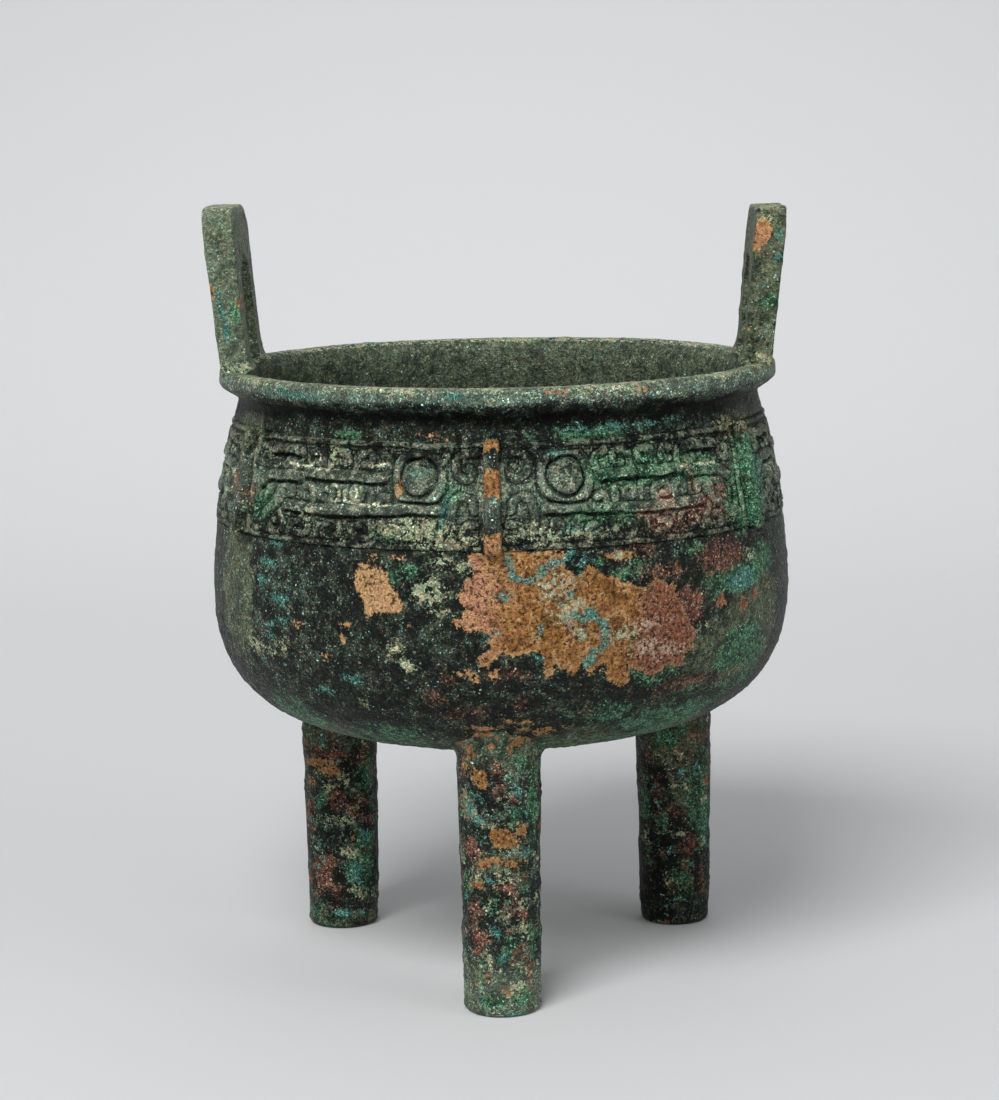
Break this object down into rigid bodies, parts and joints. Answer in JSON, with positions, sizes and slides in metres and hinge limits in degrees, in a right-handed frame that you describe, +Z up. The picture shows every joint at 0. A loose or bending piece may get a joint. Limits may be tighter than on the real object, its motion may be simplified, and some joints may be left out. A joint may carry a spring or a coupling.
{
  "type": "bronze ding",
  "caption": "Round bronze cauldron with a turned-out lip, two upright loop handles, straight cylindrical legs and a cast relief band of ridged masks.",
  "frame": {"origin": "on the floor under the bowl's axis, level with the flat undersides of the feet", "axes": "+Z up along the bowl's axis, -Y towards the leg and mask seen in front, +X towards the right handle"},
  "size_m": [0.1566, 0.1598, 0.2067],
  "materials": {
    "patinated_bronze": "cast bronze under a rough, near-black green patina, with tan, ochre and red-brown patches, turquoise and malachite corrosion and fine pale specks"
  },
  "bodies": {
    "root": {"ding_vessel": "patinated_bronze"}
  },
  "joints": []
}
